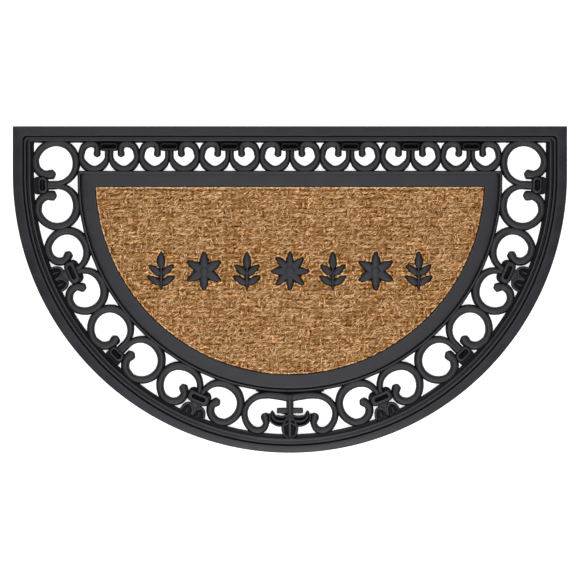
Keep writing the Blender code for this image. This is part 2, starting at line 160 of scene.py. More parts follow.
# A scroll is a bar round a ring that ends in a hook with a bulb. In millimetres: the ring's half sizes
# along the border and across it, the bar's width beside its partner and at the far side, what it gains
# at both frames, at the inner one alone and inwards between them, its height, the turn in degrees where
# the hook begins, half its blunt end's width, its run back towards the collar, and the ring's steps.
Scroll = namedtuple("Scroll", "along across near far swell inner pinch height hook_from bulb stub steps")
CORNER_SCROLL = Scroll(28, 28.2, 8.6, 10.6, 0, 1.4, 0, 7, 258, 6.5, 12, 48)
WIDE_SCROLL = Scroll(27.4, 27.4, 8.8, 11, 0, 2, 0, 7, 256, 6.8, 12, 48)
TIGHT_SCROLL = Scroll(27.4, 27.4, 8.8, 11, 0, 2.4, 0, 7, 235, 6.2, 0, 46)
SMALL_SCROLL = Scroll(17.6, 17.2, 6.8, 8.4, 3, 0, 1.2, 6.6, 195, 4.9, 8, 28)

# The hooks' steps, in millimetres: how far they lie from the ring's centre towards the partner and
# outwards, and the bar's width. The last is the bulb's centre. The lead is in degrees of the ring.
WIDE_HOOK = ((5, 25.4, 11.4), (11.7, 20.5, 12), (15.2, 13.4, 12.2), (14.9, 6.9, 12.8))
CORNER_HOOK = ((4.6, 26.8, 11), (12, 21.4, 11.6), (15.2, 13.8, 12.2), (14.9, 6.9, 12.8))
TIGHT_HOOK = ((-4.6, 24.6, 10.8), (5, 20.6, 11.4), (9.6, 13.2, 11.6), (9.4, 6.6, 11.8),
              (5.8, 1.6, 12.2))
SMALL_HOOK = ((-15.9, 9.4, 9.6), (-12.6, 14.5, 10.2), (-5.4, 17.7, 10.2), (2, 15.9, 9.8),
              (4.4, 10.4, 9.6), (3.9, 4, 9.6))
HOOK_STEPS, STUB_STEPS = 7, 6
HOOK_LEAD = 15

# A scroll's blunt end: steps along the bar and the bar's width there, both in shares of half the end's
# width, and its height as a share of the bar's. The bar's own steps stop short of it by a share too.
End = namedtuple("End", "along width height")
BLUNT_END = (End(-0.9, 1.84, 1), End(-0.5, 1.98, 1), End(0, 2.04, 1), End(0.34, 2.02, 1),
             End(0.48, 1.90, 0.99), End(0.64, 1.50, 0.97), End(0.80, 1, 0.94), End(0.96, 0.4, 0.84))
END_REACH = 1.15

# A collar is a rounded block with a blind slot, in millimetres. Out is how far its middle lies beyond
# the middle of its pair.
Collar = namedtuple("Collar", "length width slot_length slot_width height out")
WIDE_COLLAR = Collar(23, 14.4, 14.4, 6.4, 8.8, 18.5)
TIGHT_COLLAR = Collar(31, 15, 18.6, 5, 9, 5.6)
TOP_COLLAR = Collar(24.6, 10.4, 19.6, 5.2, 8.8, 13.4)

# Walls of a collar and of its slot: growth in millimetres and share of the height.
COLLAR_WALL = ((0.5, 0.30), (0.2, 0.62), (-0.3, 0.84), (-1.1, 0.96), (-1.9, 1))
SLOT_WALL = ((0.6, 1), (0.2, 0.94), (-0.1, 0.80), (-0.3, 0.30), (-1, 0.20))

# A block's corners are round by a share of its shorter side, and a collar spreads at its foot.
BLOCK_ROUND, BLOCK_STEPS = 0.42, 5
FOOT_SPREAD = 1.2

# A web is a low block that ties a collar to the outer frame, in millimetres, with a bevel at its top.
Web = namedtuple("Web", "length width height out")
WIDE_WEB = Web(24, 14, 2.8, 25)
TIGHT_WEB = Web(17, 13, 5, 15)
TIGHT_BASE = Web(33, 19, 2.6, 3)
TOP_WEB = Web(37, 6.6, 2.4, 17.3)
WEB_BEVEL, WEB_BEVEL_RISE = 1.2, 0.3

# A fleur is two arched lobes on a low plate, in millimetres: a lobe's half width and rise, half the way
# between the lobes, their rim's width and height, the plate's height, how far out their feet lie, the
# length and width of the vein in each lobe, and a lobe's steps.
Fleur = namedtuple("Fleur", "half rise apart rim height plate out vein vein_width steps")
FLEUR = Fleur(8.1, 13, 8.6, 3.4, 7.8, 2.8, 30, 7.5, 2.6, 24)
PLATE_SCALE = 0.93
VEIN_TAPER = (1, 1, 1, 0.85, 0.5)
VEIN_BELOW = 1

# Pairs of scrolls along the arc: every second one, from the second, is the tight kind.
PAIR_COUNT = 4
FIRST_PAIR = math.radians(2.55)
PAIR_PITCH = math.radians(21.75)
MEMBER_ANGLE = math.radians(5.3)

# Pairs of small scrolls along the top, counted from the middle.
TOP_PAIRS_EACH_WAY = 3
TOP_PAIR_PITCH = 81.6 * MM
TOP_MEMBER = 20.2 * MM
TOP_ROW_Y = (FRAME_TOP_Y + TOP_Y - RIM_LINES[-1].top * MM) / 2

# Bars of the centre piece on the right half: places in millimetres from the arc's centre, and widths.
CURL = (
    (-3, -302.8, 12), (16.7, -299.5, 11.6), (31.5, -298.6, 10.6), (45.5, -301.2, 9.8),
    (56.2, -309.4, 9.2), (61.4, -321, 9.2), (59.6, -333.8, 9.6), (52.4, -343.6, 10.2),
    (43.2, -346.8, 10.4), (35.2, -343.4, 9.6), (32, -336.4, 9.2), (32.6, -333, 10.6),
    (33.6, -328.6, 12.6), (34.4, -325, 10.2), (35, -323, 4.8),
)
SIDE_LEAF = ((-2, -328.2, 10), (8, -333.2, 14.6), (16, -333.6, 15.6), (22.8, -329, 12.8), (24, -319.6, 2.4))
STEM = ((0, -299, 15), (0, -308, 10.4), (0, -331, 9.8))
CROSSBAR = ((-17, -319.6, 4.4), (-15, -319.6, 7.6), (15, -319.6, 7.6), (17, -319.6, 4.4))
FRAME_TIE = ((0, -297, 8), (20, -296.6, 8), (34, -294.6, 6), (46, -291.6, 3.6))
LEAF_TIE = ((20, -327, 6), (34, -326, 6))
CENTRE_LEAF = ((0, -323, 5), (0, -331, 14), (0, -339, 22), (0, -346, 23.4), (0, -352.5, 18), (0, -358, 6))

# The centre piece's bars, in millimetres: those on both sides, then those in its middle. Left and right
# differ in height by a hair, so that no two tops lie in one plane.
Part = namedtuple("Part", "name steps height foot section")
SIDE_PARTS = (
    Part("centre_curl", CURL, 7, BAR_FOOT, PLAIN),
    Part("centre_side_leaf", SIDE_LEAF, 7.3, -1.8, MIDRIB),
    Part("centre_frame_tie", FRAME_TIE, 2.6, -1.4, PLAIN),
    Part("centre_leaf_tie", LEAF_TIE, 3.2, -1.4, PLAIN),
)
MIDDLE_PARTS = (
    Part("centre_stem", STEM, 7.6, -2.3, PLAIN),
    Part("centre_crossbar", CROSSBAR, 6.8, -2.7, RIDGE),
    Part("centre_leaf", CENTRE_LEAF, 8.4, -3.3, MIDRIB),
)
SIDE_SHIFT = 0.1
SPAN_STEPS = 6

# The row of seven raised ornaments. A leaf's outline starts just past its base, is widest at a share of
# its length and ends just short of its tip. Its top rounds over in levels: shares shrunk and heights.
ROW_Y = ARC_Y - 131 * MM
ROW_PITCH = 58 * MM
LEAF_WIDEST, LEAF_FULLNESS = 0.42, 0.72
LEAF_STEPS = 15
LEAF_START, LEAF_SPAN = 0.03, 0.95
LEAF_LEVELS = ((0, 1), (0, 7), (0.07, 8.1), (0.20, 8.8), (0.42, 9.2), (0.75, 9.45))
HUB_SIDES = 28
HUB_LEVELS = ((0, 0.8), (0, 7.6), (0.06, 8.8), (0.20, 9.5), (0.45, 9.8), (0.75, 9.9))
SOCKET_GROWTH = 0.6
CUTTER_TOP = 3 * MAT_HIGH.z

# A flower's petals and the boss at its middle, in millimetres.
Flower = namedtuple("Flower", "petals length width hub")
LARGE_FLOWER = Flower(8, 27, 10.5, 7.5)
SMALL_FLOWER = Flower(6, 27, 12.5, 6.5)

# A sprig's leaves, in millimetres and degrees: where each starts on the stem and its turn to each side.
# One that doesn't turn is there once.
Leaf = namedtuple("Leaf", "base turn length width")
SPRIG_LEAVES = (Leaf(-27, 0, 40, 5.4), Leaf(2, 0, 25, 11), Leaf(-18, 58, 22, 9.5), Leaf(-5, 52, 22, 9.5))

# The coir panel: a D of its own radius, cut a little inside the frame.
PANEL_GAP = 0.35
PANEL_CORNER = 1.2
PANEL_RADIUS = FRAME_RADIUS - (FRAME_LINES[-1].side + PANEL_GAP) * MM
PANEL_TOP_Y = FRAME_TOP_Y - (FRAME_LINES[-1].top + PANEL_GAP) * MM

# Its weave, in millimetres: weft yarns lie in pairs, and every repeat two warp yarns come up through
# each pair, half a repeat further on in the next pair.
REPEAT_X = 41
WEFT_PITCH = 6.1
WARP_PITCH = 5.2
WARP_REACH = 7.2
PATCH_STRAY, PATCH_TURN = 1.4, 2.3
WEAVE_GRID, WEAVE_SPARE = 1.5, 3
WEAVE_LOW, WEAVE_RISE = 4.9, 2.5

# A yarn's curve, the weft's height under a warp patch and the share of the warp's pitch from which it
# rises again, the runs over which each comes up, and the edge's fall and width.
YARN_CURVE = 0.92
WEFT_UNDER, PATCH_SHARE = 0.25, 0.7
WEFT_RUN, WARP_RUN = 5, 3
EDGE_FALL, EDGE_ROUND = 0.25, 1.2

# A strand is a spindle of a few rings, a little fuller than a true one's and flattened, with tips that
# dip by a share of its width.
STRAND_RINGS, STRAND_SIDES = 3, 4
STRAND_FULLNESS, STRAND_FLATNESS, TIP_DROP = 1.05, 0.8, 0.3

# Kinds of strand, in millimetres: ranges of its length, width and height over the weave, its bend
# sideways, the range of its rise, and the room that its middle and its ends leave to the panel's edge
# and to an ornament.
Fibre = namedtuple("Fibre", "length width lift bend rise middle_room end_room")
LOCK = Fibre((4.5, 9.5), (0.7, 1.45), (-0.8, 0.4), 0.55, (-0.1, 0.35), (0.4, 0.35), (0.15, 0.1))
HAIR = Fibre((9, 22), (0.30, 0.50), (0.3, 0.7), 1.2, (0, 0.5), (1.5, 1.4), (1, 1.2))
EDGE_LOCK = Fibre((2.6, 5.6), (0.8, 1.5), (-0.2, 0.3), 0.25, (-0.1, 0.25), None, (0.1, 0.05))
PALE = Fibre((3, 9), (0.7, 1), (0.5, 0.8), 0, None, None, None)

# Which way they lie, in degrees: the middle and the spread. Some locks stray, and warp locks are shorter.
WEFT_TURN, WARP_TURN, HAIR_TURN, EDGE_TURN = (24, 20), (98, 18), (14, 42), (0, 24)
STRAY_SHARE, STRAY_TURN = 0.16, (-60, 75)
WARP_LOCK = 0.8

# How many places are tried for strands, and the seeds of their random numbers.
LOCK_SEEDS, LOCK_COUNT = (1, 2, 3), 9200
HAIR_SEED, HAIR_COUNT = 9, 9000
EDGE_SEED, PALE_SEED = 4, 5

# Locks along the panel's edges, in millimetres: how far in they lie, how close together and how
# scattered, and the same of the pale strands, which show in a band along the top and for some way down
# the left side, at a share of their places.
EDGE_INSET, EDGE_SPACING, EDGE_SCATTER = 1.2, 0.7, (-0.5, 0.7)
PALE_INSET, PALE_SPACING, PALE_SCATTER = 0.85, 0.9, (-0.1, 0.15)
PALE_BAND, PALE_DROP = 2, 110
PALE_TOP_SHARE, PALE_LEFT_SHARE = 0.75, 0.45

# The studio's lights, in metres and watts, and its floor and world.
Light = namedtuple("Light", "name place size power")
LIGHTS = (
    Light("key_light", (0, -2.4, 2), (2.6, 1.4), 78),
    Light("back_light", (-0.5, 2.4, 2), (2.6, 1.2), 30),
    Light("top_light", (0, 0, 3.4), (0.6, 2.6), 44),
)
FLOOR_SIZE, FLOOR_DROP = 12, 0.5 * MM
FLOOR_GLOW, WORLD_GLOW = 0.45, 0.30

# The camera looks straight down through a long lens. The view's width is measured a little over the
# floor, in millimetres.
VIEW_WIDTH, VIEW_LEVEL = 785.3, 0.5
LENS, SENSOR = 120, 36
CAMERA_X, CAMERA_Y = 0.1, -0.6


def set_sockets(node, values):
    """Sets a node's plain sockets, each by its name with underscores for spaces."""
    for socket, value in values.items():
        node.inputs[socket.replace("_", " ")].default_value = value
    return node


def new_node(tree, kind, **values):
    return set_sockets(tree.nodes.new(f"ShaderNode{kind}"), values)


def material(name, **values):
    """A material, its node tree and its Principled shader with these values."""
    made = bpy.data.materials.new(name)
    made.use_nodes = True
    return made, made.node_tree, set_sockets(made.node_tree.nodes["Principled BSDF"], values)


def linear(red, green, blue):
    """A colour as seen on a screen, from 0 to 255, as the shader's linear one."""
    return (*(((c / 255 + 0.055) / 1.055) ** 2.4 for c in (red, green, blue)), 1.0)


# Painted shade: near black for the rubber's flanks and recesses.
SHADED_RUBBER = linear(5, 5, 6)
CROWN_TONES = (linear(31, 31, 36), linear(38, 38, 43))
# Painted shade: dark brown for the coir where it lies deep.
SHADED_COIR = linear(54, 25, 4)

# Tones of coir from the darkest strand to the lightest. The middle one stands halfway.
# The woven ground is coir like the locks; its darker tones are partly painted shade for the gaps between
# them.
GROUND_TONES = (linear(84, 46, 14), linear(118, 76, 34), linear(150, 104, 56))
LOCK_TONES = (linear(104, 56, 14), linear(194, 143, 89), linear(252, 210, 158))
HAIR_TONES = (linear(150, 108, 64), linear(208, 166, 116), linear(246, 214, 168))
PALE_TONES = (linear(150, 118, 88), linear(206, 180, 154), linear(240, 224, 206))
HALFWAY = 0.5


def noise(tree, coordinates, scale, detail):
    made = new_node(tree, "TexNoise", Scale=scale, Detail=detail, Roughness=0.55)
    tree.links.new(coordinates, made.inputs["Vector"])
    return made.outputs["Fac"]


def in_range(tree, source, low, high, to_low=0.0, to_high=1.0):
    made = new_node(tree, "MapRange", From_Min=low, From_Max=high, To_Min=to_low, To_Max=to_high)
    made.interpolation_type = "SMOOTHSTEP"
    tree.links.new(source, made.inputs["Value"])
    return made.outputs["Result"]


def height_range(tree, vector, low, high):
    """Where a vector's upward part lies between low and high, from 0 to 1."""
    split = new_node(tree, "SeparateXYZ")
    tree.links.new(vector, split.inputs["Vector"])
    return in_range(tree, split.outputs["Z"], low, high)


def mixed(tree, factor, first, second):
    """A mix of two colours, each a socket or four numbers."""
    made = new_node(tree, "Mix")
    made.data_type = "RGBA"
    tree.links.new(factor, made.inputs["Factor"])
    for socket, value in (("A", first), ("B", second)):
        target = next(s for s in made.inputs if s.name == socket and s.type == "RGBA")
        if isinstance(value, tuple):
            target.default_value = value
        else:
            tree.links.new(value, target)
    return next(s for s in made.outputs if s.type == "RGBA")


def bumped(tree, shader, height, strength, distance):
    made = new_node(tree, "Bump", Strength=strength, Distance=distance)
    tree.links.new(height, made.inputs["Height"])
    tree.links.new(made.outputs["Normal"], shader.inputs["Normal"])


def rubber_material():
    """Satin rubber, greyer on its crowns, with painted shade that makes it black on its flanks and in its
    recesses.
    """
    made, tree, shader = material("black_rubber_satin", Specular_IOR_Level=0.26)
    where = new_node(tree, "TexCoord").outputs["Object"]
    facing = new_node(tree, "NewGeometry").outputs["Normal"]
    # Painted shade: faces that lean away from up, and low recesses, go to near black.
    slope_shade = height_range(tree, facing, FLANK_UP, CROWN_UP)
    raised = height_range(tree, where, RECESS_LOW * MM, RECESS_HIGH * MM)
    mottle = in_range(tree, noise(tree, where, scale=38.0, detail=5.0), 0.3, 0.7)
    crown = mixed(tree, mottle, *CROWN_TONES)
    toned = mixed(tree, slope_shade, SHADED_RUBBER, crown)
    tree.links.new(mixed(tree, raised, SHADED_RUBBER, toned), shader.inputs["Base Color"])
    satin = in_range(tree, mottle, 0.0, 1.0, SATIN_LOW, SATIN_HIGH)
    # What is raised is satin, and recesses are dull.
    finish = new_node(tree, "Mix", A=1.0)
    tree.links.new(raised, finish.inputs["Factor"])
    tree.links.new(satin, finish.inputs["B"])
    tree.links.new(finish.outputs["Result"], shader.inputs["Roughness"])
    grain = noise(tree, where, scale=1500.0, detail=2.0)
    bumped(tree, shader, grain, strength=0.30, distance=0.0002)
    return made


def coir_material(name, tones):
    """Coir in locks: each has its own tone, with painted shade where it lies deep, and fine streaks run over
    it.
    """
    dark, middle, light = tones
    made, tree, shader = material(name, Roughness=0.9, Specular_IOR_Level=0.06)
    ramp = new_node(tree, "ValToRGB")
    tree.links.new(new_node(tree, "NewGeometry").outputs["Random Per Island"], ramp.inputs["Fac"])
    elements = ramp.color_ramp.elements
    elements[0].color = dark
    elements[1].color = light
    elements.new(HALFWAY).color = middle
    where = new_node(tree, "TexCoord").outputs["Object"]
    # Painted shade: the coir darkens where it lies low in the weave.
    depth_shade = height_range(tree, where, LOCK_LOW * MM, LOCK_HIGH * MM)
    toned = mixed(tree, depth_shade, SHADED_COIR, ramp.outputs["Color"])
    tree.links.new(toned, shader.inputs["Base Color"])
    streaks = noise(tree, where, scale=1900.0, detail=3.0)
    bumped(tree, shader, streaks, strength=0.6, distance=0.0003)
    return made


def linked(name, data, group=None):
    """A new object with this data, in a group or straight in the scene."""
    made = bpy.data.objects.new(name, data)
    (group or bpy.context.scene.collection).objects.link(made)
    return made


def loft(name, loops, group, ring=False):
    """A closed solid through loops of equal length. Its ends are capped, or meet if ring is set."""
    bm = bmesh.new()
    rows = [[bm.verts.new(point) for point in loop] for loop in loops]
    pairs = list(zip(rows, rows[1:]))
    if ring:
        pairs.append((rows[-1], rows[0]))
    else:
        bm.faces.new(rows[0])
        bm.faces.new(rows[-1])
    for low, high in pairs:
        for i, corner in enumerate(low):
            after = (i + 1) % len(low)
            bm.faces.new((corner, low[after], high[after], high[i]))
    bmesh.ops.recalc_face_normals(bm, faces=bm.faces)
    mesh = bpy.data.meshes.new(name)
    bm.to_mesh(mesh)
    bm.free()
    return linked(name, mesh, group)


def d_loop(line, radius, arc_y, top_y, foot_share=0.0):
    """One line of a frame, anticlockwise from the middle of its top. At the foot of the arc it reaches
    lower by a share of the rim's extra reach."""
    side = radius - line.side * MM
    bottom = radius - line.bottom * MM
    top = top_y - line.top * MM
    corner = line.corner * MM
    drop = arc_y - top + corner
    start = max(0.0, math.asin(max(0.0, drop) / side))
    edge_x = side * math.cos(start)
    straight = max(0.0, -drop)
    length = straight + (math.pi / 2 - start) * side
    height, top_height, low_height = line.height * MM, line.top_height * MM, line.low_height * MM
    foot = foot_share * RIM_FOOT

    half = [(-(edge_x - corner) * i / TOP_STEPS, top, top_height) for i in range(TOP_STEPS)]
    for i in range(CORNER_STEPS):
        turn = math.pi / 2 * i / CORNER_STEPS
        share = i / CORNER_STEPS
        half.append((-edge_x + corner * (1 - math.sin(turn)), top - corner * (1 - math.cos(turn)),
                     top_height + (height - top_height) * share))
    for i in range(SIDE_STEPS):
        along = length * i / SIDE_STEPS
        if along < straight:
            half.append((-side, top - corner - along, height))
            continue
        angle = start + (along - straight) / side
        reach = side + (bottom - side) * math.sin(angle) ** 4
        z = height + (low_height - height) * math.sin(angle)
        half.append((-reach * math.cos(angle), arc_y - (reach + foot) * math.sin(angle), z))
    other = [(-x, y, z) for x, y, z in reversed(half[1:])]
    return half + [(0.0, arc_y - bottom - foot, low_height)] + other


def bar(name, path, widths, height, group, foot=BAR_FOOT, section=PLAIN, heights=None):
    """A bar along a path seen from above, with a section that widths and heights scale step by step."""
    loops = []
    for i, point in enumerate(path):
        ahead = path[min(i + 1, len(path) - 1)] - path[max(i - 1, 0)]
        across = Vector((-ahead.y, ahead.x)).normalized() * widths[i] / 2
        level = height * (heights[i] if heights else 1.0) * MM
        half = [(1.0, foot * MM), *((share, rise * level) for share, rise in section)]
        loop = [(*(point + across * share), z) for share, z in half]
        loop += [(*(point - across * share), z) for share, z in reversed(half[:-1])]
        loops.append(loop)
    return loft(name, loops, group)


class Place:
    """A spot on the border seen from above: its centre, and the ways towards its partner and out."""

    def __init__(self, centre, toward, out):
        self.centre, self.toward, self.out = centre, toward.normalized(), out.normalized()

    def point(self, toward, out):
        return self.centre + self.toward * toward + self.out * out

    def moved_out(self, reach):
        return Place(self.point(0, reach), self.toward, self.out)


def border_middle(angle):
    """How far from the arc's centre the middle of the curved border runs."""
    rim_line = RIM_LINES[-1]
    rim = MAT_RADIUS - rim_line.side * MM
    rim += (rim_line.side - rim_line.bottom) * MM * math.sin(angle) ** 4
    inner = FRAME_RADIUS + (ARC_Y - FRAME_ARC_Y) * max(0.0, math.sin(angle))
    return (rim + inner) / 2


def on_border(angle, reach, side):
    """A point of the curved border, on the side that side gives."""
    return Vector((side * math.cos(angle) * reach, ARC_Y - math.sin(angle) * reach))


def ring_row(kind, turn):
    """A step of a scroll's ring: its place from the centre and the bar's width, in millimetres."""
    angle = math.radians(turn)
    inner = kind.inner * max(0.0, math.sin(angle)) ** 2
    width = kind.near + (kind.far - kind.near) * (1 - math.cos(angle)) / 2
    pinch = kind.pinch * math.sin(2 * angle) ** 2 if turn < 180 else 0.0
    width += kind.swell * abs(math.sin(angle)) + inner + pinch
    scale = 1 - pinch / 2 / kind.along
    x, y = kind.along * math.cos(angle), -(kind.across - inner / 2) * math.sin(angle)
    return x * scale, y * scale, width


def scroll(name, kind, hook, place, group):
    """One C-scroll: a ring, a hook and its bulb."""
    rows = [(kind.along, kind.stub * (1 - i / STUB_STEPS), kind.near)
            for i in range(STUB_STEPS if kind.stub else 0)]
    rows += [ring_row(kind, kind.hook_from * i / kind.steps) for i in range(kind.steps + 1)]
    before = ring_row(kind, kind.hook_from - HOOK_LEAD)
    rows += smooth([before, rows[-1], *hook], HOOK_STEPS)[HOOK_STEPS + 1:]
    path = [place.point(toward * MM, out * MM) for toward, out, _ in rows]
    widths = [width * MM for _, _, width in rows]
    bulb, centre = kind.bulb * MM, path[-1]
    heading = (path[-1] - path[-2]).normalized()
    while (path[-1] - centre).length < bulb * END_REACH:
        path.pop()
        widths.pop()
    heights = [1.0] * len(path)
    for end in BLUNT_END:
        path.append(centre + heading * bulb * end.along)
        widths.append(bulb * end.width)
        heights.append(end.height)
    return bar(name, path, widths, kind.height, group, heights=heights)


def rounded_loop(place, length, width, height):
    """A rectangle with round corners, its length along the border."""
    radius = min(length, width) * BLOCK_ROUND
    loop = []
    for k, (s, t) in enumerate(((1, 1), (-1, 1), (-1, -1), (1, -1))):
        middle = (s * (length / 2 - radius), t * (width / 2 - radius))
        for i in range(BLOCK_STEPS + 1):
            turn = math.pi / 2 * (k + i / BLOCK_STEPS)
            spot = place.point(middle[0] + radius * math.cos(turn), middle[1] + radius * math.sin(turn))
            loop.append((*spot, height))
    return loop


def collar(name, kind, pair, group):
    """A block round two bars, with a blind slot in its top."""
    place = pair.moved_out(kind.out * MM)
    walls = ((kind.length, kind.width, COLLAR_WALL), (kind.slot_length, kind.slot_width, SLOT_WALL))
    length, width = (kind.length + FOOT_SPREAD) * MM, (kind.width + FOOT_SPREAD) * MM
    loops = [rounded_loop(place, length, width, COLLAR_FOOT * MM)]
    for length, width, wall in walls:
        for growth, rise in wall:
            loops.append(rounded_loop(
                place, (length + 2 * growth) * MM, (width + 2 * growth) * MM, kind.height * rise * MM))
    return loft(name, loops, group)


def web(name, kind, pair, group):
    """A low block beside a collar."""
    place = pair.moved_out(kind.out * MM)
    loops = [
        rounded_loop(place, kind.length * MM, kind.width * MM, z * MM)
        for z in (WEB_FOOT, kind.height - WEB_BEVEL_RISE)
    ]
    length, width = (kind.length - WEB_BEVEL) * MM, (kind.width - WEB_BEVEL) * MM
    loops.append(rounded_loop(place, length, width, kind.height * MM))
    return loft(name, loops, group)


def fleur(name, kind, pair, group):
    """Two small lobes side by side, standing against the outer frame."""
    place = pair.moved_out(kind.out * MM)
    turns = [math.pi * i / kind.steps for i in range(kind.steps + 1)]
    for side in (-1, 1):
        def arch(scale):
            return [place.point((side * kind.apart + scale * kind.half * math.cos(t)) * MM,
                                -scale * kind.rise * math.sin(t) * MM) for t in turns]

        widths = [kind.rim * MM] * len(turns)
        bar(f"{name}_rim_{side}", arch(1), widths, kind.height, group, FLEUR_FOOT, RIDGE)
        plate = [[(*p, z * MM) for p in arch(PLATE_SCALE)] for z in (PLATE_FOOT, kind.plate)]
        loft(f"{name}_plate_{side}", plate, group)
        spans = len(VEIN_TAPER) - 1
        vein = [place.point(side * kind.apart * MM, -kind.vein * MM * i / spans) for i in range(spans + 1)]
        widths = [kind.vein_width * MM * share for share in VEIN_TAPER]
        bar(f"{name}_vein_{side}", vein, widths, kind.height - VEIN_BELOW, group, VEIN_FOOT, RIDGE)


def curved_border(side, group):
    """The pairs of scrolls along one half of the arc, wide and tight ones by turns."""
    for k in range(PAIR_COUNT):
        angle = FIRST_PAIR + k * PAIR_PITCH
        tight = k % 2 == 1
        kind, hook = (TIGHT_SCROLL, TIGHT_HOOK) if tight else (WIDE_SCROLL, WIDE_HOOK)
        turns = [angle + m * MEMBER_ANGLE for m in (-1, 1)]
        ends = [on_border(turn, border_middle(turn), side) for turn in turns]
        middle = (ends[0] + ends[1]) / 2
        out = middle - Vector((0, ARC_Y))
        name = f"{k}_{side}"
        for m, centre in enumerate(ends):
            shape = (CORNER_SCROLL, CORNER_HOOK) if (k, m) == (0, 0) else (kind, hook)
            scroll(f"scroll_{name}_{m}", *shape, Place(centre, middle - centre, out), group)
        pair = Place(middle, ends[1] - ends[0], out)
        collar(f"collar_{name}", TIGHT_COLLAR if tight else WIDE_COLLAR, pair, group)
        web(f"web_{name}", TIGHT_WEB if tight else WIDE_WEB, pair, group)
        if tight:
            web(f"base_{name}", TIGHT_BASE, pair, group)
            fleur(f"fleur_{name}", FLEUR, pair, group)


def top_border(group):
    """The pairs of small scrolls along the straight edge."""
    along, out = Vector((1, 0)), Vector((0, 1))
    for k in range(-TOP_PAIRS_EACH_WAY, TOP_PAIRS_EACH_WAY + 1):
        middle = Vector((TOP_PAIR_PITCH * k, TOP_ROW_Y))
        for m in (-1, 1):
            centre = middle + along * m * TOP_MEMBER
            place = Place(centre, middle - centre, out)
            scroll(f"top_scroll_{k}_{m}", SMALL_SCROLL, SMALL_HOOK, place, group)
        pair = Place(middle, along, out)
        collar(f"top_collar_{k}", TOP_COLLAR, pair, group)
        web(f"top_web_{k}", TOP_WEB, pair, group)


def smooth(rows, per_span):
    """A smooth curve through a few rows of numbers, with per_span steps between every two."""
    rows = [np.array(row, float) for row in rows]
    ends = [rows[0] * 2 - rows[1], *rows, rows[-1] * 2 - rows[-2]]
    out = []
    for a, b, c, d in zip(ends, ends[1:], ends[2:], ends[3:]):
        for i in range(per_span):
            t = i / per_span
            out.append(0.5 * (2 * b + (c - a) * t + (2 * a - 5 * b + 4 * c - d) * t**2
                              + (3 * b - a - 3 * c + d) * t**3))
    return out + [rows[-1]]


def step_bar(name, part, height, group, side=1):
    """A bar of the centre piece, on the side of the middle that side gives."""
    rows = smooth(part.steps, SPAN_STEPS)
    path = [Vector((side * x * MM, ARC_Y + y * MM)) for x, y, _ in rows]
    return bar(name, path, [width * MM for _, _, width in rows], height, group, part.foot, part.section)


def centre_piece(group):
    """Two curls, a stem with a crossbar, two side leaves and a leaf below, at the foot of the arc."""
    for side in (-1, 1):
        for part in SIDE_PARTS:
            step_bar(f"{part.name}_{side}", part, part.height + SIDE_SHIFT * side, group, side)
    for part in MIDDLE_PARTS:
        step_bar(part.name, part, part.height, group)


def leaf_half_width(share, width):
    """Half of a leaf's width at shares of its length."""
    bend = math.log(0.5) / math.log(LEAF_WIDEST)
    return width / 2 * np.sin(np.pi * np.clip(share, 0, 1) ** bend) ** LEAF_FULLNESS


def all_leaves():
    """Every leaf and petal of the row: its name, base, heading, length and width, in metres."""
    def flower(name, kind, centre):
        return [(f"{name}_petal_{i}", centre, math.tau * i / kind.petals, kind.length * MM, kind.width * MM)
                for i in range(kind.petals)]

    def sprig(name, centre):
        return [(f"{name}_leaf_{row}_{side}", centre + Vector((0, kind.base * MM)),
                 side * math.radians(kind.turn), kind.length * MM, kind.width * MM)
                for row, kind in enumerate(SPRIG_LEAVES) for side in ((-1, 1) if kind.turn else (1,))]

    leaves = flower("flower_0", LARGE_FLOWER, Vector((0, ROW_Y)))
    for side in (-1, 1):
        spots = [Vector((side * place * ROW_PITCH, ROW_Y)) for place in (1, 2, 3)]
        leaves += sprig(f"sprig_{side}", spots[0])
        leaves += flower(f"flower_{side}", SMALL_FLOWER, spots[1])
        leaves += sprig(f"sprig_{3 * side}", spots[2])
    return leaves


def all_hubs():
    """The boss of every flower: its name, centre and radius."""
    hubs = [("flower_0_hub", Vector((0, ROW_Y)), LARGE_FLOWER.hub * MM)]
    for side in (-1, 1):
        hubs.append((f"flower_{side}_hub", Vector((2 * side * ROW_PITCH, ROW_Y)), SMALL_FLOWER.hub * MM))
    return hubs


def leaf_loop(base, heading, length, width, shrink, height, grow=0.0):
    """A leaf's outline at a height, shrunk by a share or grown by so many metres."""
    ahead = Vector((math.sin(heading), math.cos(heading)))
    across = Vector((ahead.y, -ahead.x))
    left, right = [], []
    for i in range(LEAF_STEPS + 1):
        share = LEAF_START + LEAF_SPAN * i / LEAF_STEPS
        half = float(leaf_half_width(share, width)) * (1 - shrink) + grow
        along = length * (LEAF_WIDEST + (share - LEAF_WIDEST) * (1 - shrink))
        along += grow * (2 * share - 1)
        spot = base + ahead * along
        left.append(spot + across * half)
        right.append(spot - across * half)
    return [(p.x, p.y, height) for p in left + right[::-1]]


def round_loop(centre, radius, height):
    turns = [math.tau * i / HUB_SIDES for i in range(HUB_SIDES)]
    return [(centre.x + radius * math.cos(t), centre.y + radius * math.sin(t), height) for t in turns]


def ornaments(group):
    """The row of seven: a flower in the middle, and sprigs and smaller flowers by turns beside it."""
    for name, *leaf in all_leaves():
        loft(name, [leaf_loop(*leaf, shrink, height * MM) for shrink, height in LEAF_LEVELS], group)
    for name, centre, radius in all_hubs():
        loops = [round_loop(centre, radius * (1 - shrink), height * MM) for shrink, height in HUB_LEVELS]
        loft(name, loops, group)


def sockets(group):
    """Posts a little larger than the ornaments, which the woven sheet is cut by."""
    grow = SOCKET_GROWTH * MM
    for name, *leaf in all_leaves():
        loft(f"socket_{name}", [leaf_loop(*leaf, 0.0, z, grow) for z in (0.0, CUTTER_TOP)], group)
    for name, centre, radius in all_hubs():
        loft(f"socket_{name}", [round_loop(centre, radius + grow, z) for z in (0.0, CUTTER_TOP)], group)


def new_group(name):
    made = bpy.data.collections.new(name)
    bpy.context.scene.collection.children.link(made)
    return made


